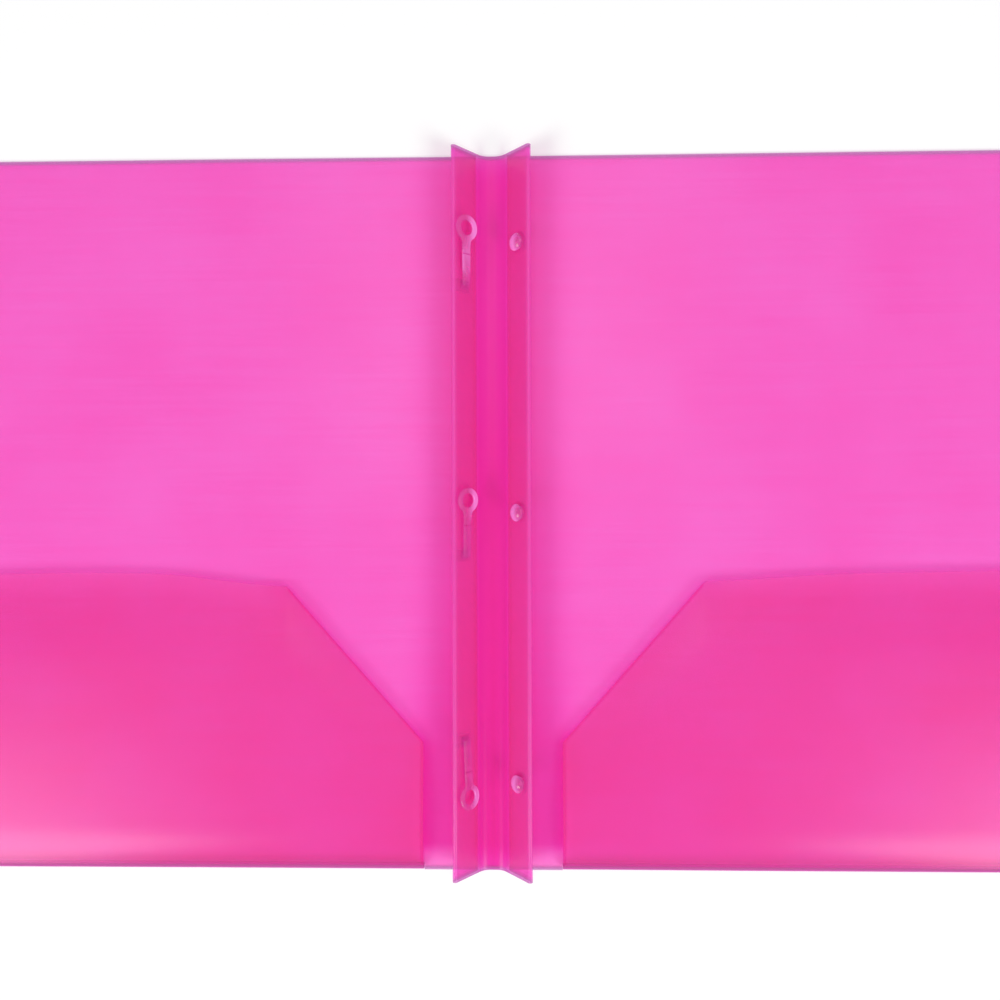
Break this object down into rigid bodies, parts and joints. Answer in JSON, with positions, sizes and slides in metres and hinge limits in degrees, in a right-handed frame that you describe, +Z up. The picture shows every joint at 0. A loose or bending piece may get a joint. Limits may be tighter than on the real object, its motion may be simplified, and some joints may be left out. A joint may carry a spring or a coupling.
{
  "type": "two pocket folder",
  "caption": "Open pocket folder of translucent plastic sheet with slant-cut pockets, a folding spine, domed studs for punched paper and loop straps that button over them.",
  "frame": {"origin": "on the table, under the middle of the spine panel", "axes": "+X across the open folder to the right cover, +Y along the spine to the top edge, +Z up"},
  "size_m": [0.491, 0.292, 0.0145],
  "materials": {
    "pink_sheet": "translucent polypropylene sheet with a fine matte grain",
    "fastener_plastic": "moulded, glossy",
    "cap_plastic": "moulded"
  },
  "bodies": {
    "spine": {"spine_panel": "pink_sheet"},
    "left_fin": {"left_gusset_inner": "pink_sheet", "left_gusset_outer": "pink_sheet", "top_strap_anchor": "fastener_plastic", "top_strap_cap": "cap_plastic", "middle_strap_anchor": "fastener_plastic", "middle_strap_cap": "cap_plastic", "bottom_strap_anchor": "fastener_plastic", "bottom_strap_cap": "cap_plastic"},
    "right_fin": {"right_gusset_inner": "pink_sheet", "right_gusset_outer": "pink_sheet", "top_stud": "fastener_plastic", "top_stud_cap": "cap_plastic", "middle_stud": "fastener_plastic", "middle_stud_cap": "cap_plastic", "bottom_stud": "fastener_plastic", "bottom_stud_cap": "cap_plastic"},
    "left_leaf": {"left_cover": "pink_sheet", "left_pocket": "pink_sheet", "left_pocket_bottom_fold": "pink_sheet", "left_pocket_side_seam": "pink_sheet"},
    "right_leaf": {"right_cover": "pink_sheet", "right_pocket": "pink_sheet", "right_pocket_bottom_fold": "pink_sheet", "right_pocket_side_seam": "pink_sheet"},
    "top_tongue": {"top_strap": "fastener_plastic"},
    "top_loop": {"top_eyelet": "fastener_plastic"},
    "middle_tongue": {"middle_strap": "fastener_plastic"},
    "middle_loop": {"middle_eyelet": "fastener_plastic"},
    "bottom_tongue": {"bottom_strap": "fastener_plastic"},
    "bottom_loop": {"bottom_eyelet": "fastener_plastic"}
  },
  "joints": [
    {"name": "left_spine_fold", "type": "hinge", "parent": "spine", "child": "left_fin", "pos_m": [-0.0038, 0, 0.00025], "axis": [0, 1, 0], "range_deg": [0, 42]},
    {"name": "left_cover_fold", "type": "hinge", "parent": "left_fin", "child": "left_leaf", "pos_m": [-0.00676, 0, 0.00025], "axis": [0, 1, 0], "range_deg": [0, 48]},
    {"name": "right_spine_fold", "type": "hinge", "parent": "spine", "child": "right_fin", "pos_m": [0.0038, 0, 0.00025], "axis": [0, -1, 0], "range_deg": [0, 42]},
    {"name": "right_cover_fold", "type": "hinge", "parent": "right_fin", "child": "right_leaf", "pos_m": [0.00676, 0, 0.00025], "axis": [0, -1, 0], "range_deg": [0, 48]},
    {"name": "top_strap_bend", "type": "hinge", "parent": "left_fin", "child": "top_tongue", "pos_m": [-0.01002, 0.091, 0.00918], "axis": [-0.6691, 0, 0.7431], "range_deg": [-60, 4], "stiffness_Nm_per_rad": 0.002},
    {"name": "top_eyelet_bend", "type": "hinge", "parent": "top_tongue", "child": "top_loop", "pos_m": [-0.0094, 0.10297, 0.00974], "axis": [-0.6691, 0, 0.7431], "range_deg": [-30, 2]},
    {"name": "middle_strap_bend", "type": "hinge", "parent": "left_fin", "child": "middle_tongue", "pos_m": [-0.01002, -0.017, 0.00918], "axis": [-0.6691, 0, 0.7431], "range_deg": [-60, 3], "stiffness_Nm_per_rad": 0.002},
    {"name": "middle_eyelet_bend", "type": "hinge", "parent": "middle_tongue", "child": "middle_loop", "pos_m": [-0.00956, -0.00502, 0.0096], "axis": [-0.6691, 0, 0.7431], "range_deg": [-30, 1.5]},
    {"name": "bottom_strap_bend", "type": "hinge", "parent": "left_fin", "child": "bottom_tongue", "pos_m": [-0.01002, -0.091, 0.00918], "axis": [0.6691, 0, -0.7431], "range_deg": [-60, 3], "stiffness_Nm_per_rad": 0.002},
    {"name": "bottom_eyelet_bend", "type": "hinge", "parent": "bottom_tongue", "child": "bottom_loop", "pos_m": [-0.00956, -0.10298, 0.0096], "axis": [0.6691, 0, -0.7431], "range_deg": [-30, 1.5]}
  ],
  "couplings": [
    {"joint": "left_spine_fold", "follows": "left_cover_fold", "ratio": 0.875},
    {"joint": "right_spine_fold", "follows": "right_cover_fold", "ratio": 0.875},
    {"joint": "top_eyelet_bend", "follows": "top_strap_bend", "ratio": 0.5},
    {"joint": "middle_eyelet_bend", "follows": "middle_strap_bend", "ratio": 0.5},
    {"joint": "bottom_eyelet_bend", "follows": "bottom_strap_bend", "ratio": 0.5}
  ]
}
